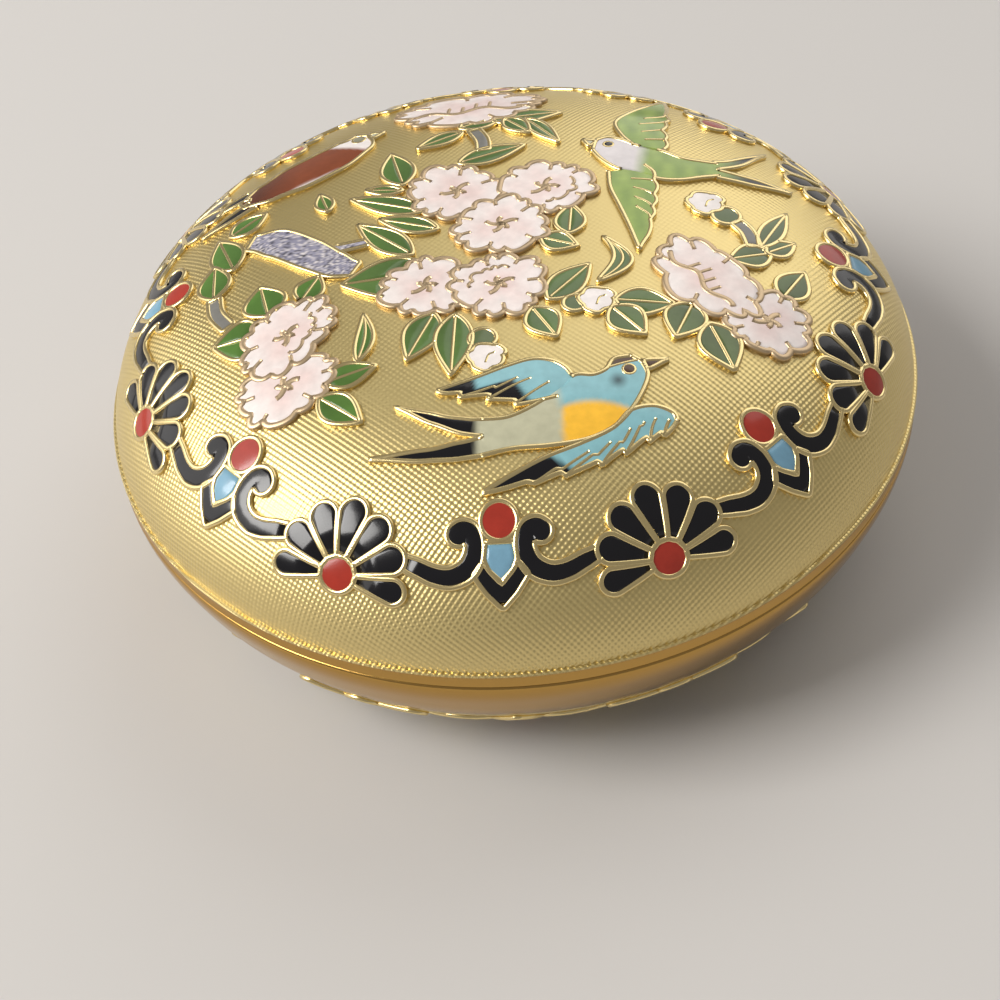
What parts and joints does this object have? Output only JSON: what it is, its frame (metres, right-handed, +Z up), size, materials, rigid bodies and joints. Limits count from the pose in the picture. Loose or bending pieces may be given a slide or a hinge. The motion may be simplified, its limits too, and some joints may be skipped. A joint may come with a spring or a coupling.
{
  "type": "lidded enamel box",
  "caption": "Round gilt cloisonne trinket box: a domed lid with birds, blossoms and a palmette garland lifts off a footed bowl.",
  "frame": {"origin": "on the table, under the centre of the foot ring", "axes": "+Z up through the crown of the lid; -Y towards the front pendant of the garland, +X to the right seen from the front"},
  "size_m": [0.09, 0.09, 0.0356],
  "materials": {
    "gilt_lid": "fine linen-stamped gilt with glossy raised enamel",
    "gilt_base": "smooth gilt with glossy raised enamel"
  },
  "bodies": {
    "root": {"lid": "gilt_lid", "base": "gilt_base"}
  },
  "joints": []
}
